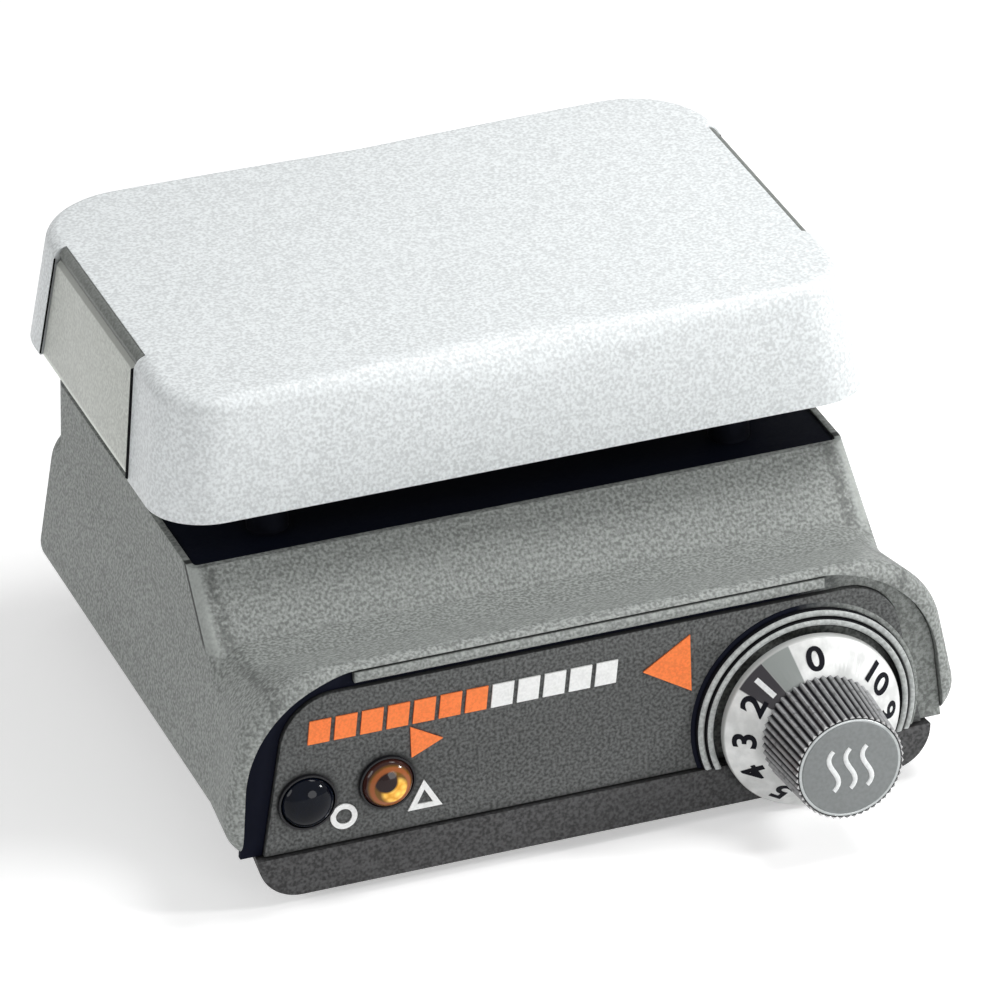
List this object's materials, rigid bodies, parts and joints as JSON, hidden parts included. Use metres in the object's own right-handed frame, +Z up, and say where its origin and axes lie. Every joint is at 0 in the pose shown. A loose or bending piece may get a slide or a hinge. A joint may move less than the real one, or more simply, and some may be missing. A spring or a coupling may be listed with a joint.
{
  "type": "laboratory hot plate",
  "caption": "Compact laboratory hot plate: white pressed cover over a heating element, raised on a grey cast housing with a sloping neck, indicator lamps and a turning heat dial.",
  "frame": {"origin": "on the bench, below the middle of the whole part's extent", "axes": "+Z up, -Y towards the user and the control panel, +X to the user's right, where the heat knob is"},
  "size_m": [0.1434, 0.1552, 0.0872],
  "materials": {
    "white_enamel": "satin",
    "end_sheet": "satin",
    "grey_cast": "textured",
    "dark_base": "matte",
    "panel_grey": "satin",
    "black_gasket": "matte",
    "bezel_grey": "satin",
    "black_ring": "satin",
    "orange_print": "matte",
    "white_print": "matte",
    "dial_white": "satin",
    "grip_black": "satin",
    "cap_grey": "satin",
    "amber": "gloss",
    "black_gloss": "gloss",
    "steel": "brushed",
    "element_steel": "oxidised",
    "insulation": "matte",
    "lamp_body": "matte",
    "control_body": "matte",
    "brass_tabs": "plain",
    "block_white": "matte",
    "inlet_black": "satin",
    "lead_jacket": "matte",
    "foot_rubber": "matte"
  },
  "bodies": {
    "hot_plate": {"upper_housing": "grey_cast", "base_pan": "dark_base", "feet": "foot_rubber", "foot_screws": "steel", "base_screws": "steel", "top_cover": "white_enamel", "end_panel_left": "end_sheet", "end_panel_right": "end_sheet", "element_pan": "steel", "insulation_block": "insulation", "deck_plate": "black_gasket", "element_clamps": "steel", "cover_studs": "steel", "deck_spacers": "steel", "stud_nuts": "steel", "deck_screws": "steel", "heating_element": "element_steel", "control_panel": "panel_grey", "panel_gasket": "black_gasket", "dial_bezel": "bezel_grey", "lamp_bezels": "black_ring", "orange_marks": "orange_print", "white_marks": "white_print", "amber_lens": "amber", "amber_lamp": "lamp_body", "dark_lens": "black_gloss", "dark_lamp": "lamp_body", "heat_control": "control_body", "control_nut": "steel", "control_tabs": "brass_tabs", "power_inlet": "inlet_black", "inlet_pins": "brass_tabs", "inlet_screws": "steel", "terminal_block": "block_white", "terminal_screws": "brass_tabs", "ground_stud": "steel", "ground_nut": "steel", "inner_leads": "lead_jacket"},
    "knob": {"knob_dial": "dial_white", "knob_grip": "grip_black", "knob_cap": "cap_grey", "control_shaft": "steel"}
  },
  "joints": [
    {"name": "knob_turn", "type": "hinge", "parent": "hot_plate", "child": "knob", "pos_m": [0.0415, -0.0624, 0.0186], "axis": [0, 1, 0], "range_deg": [0, 300]}
  ]
}
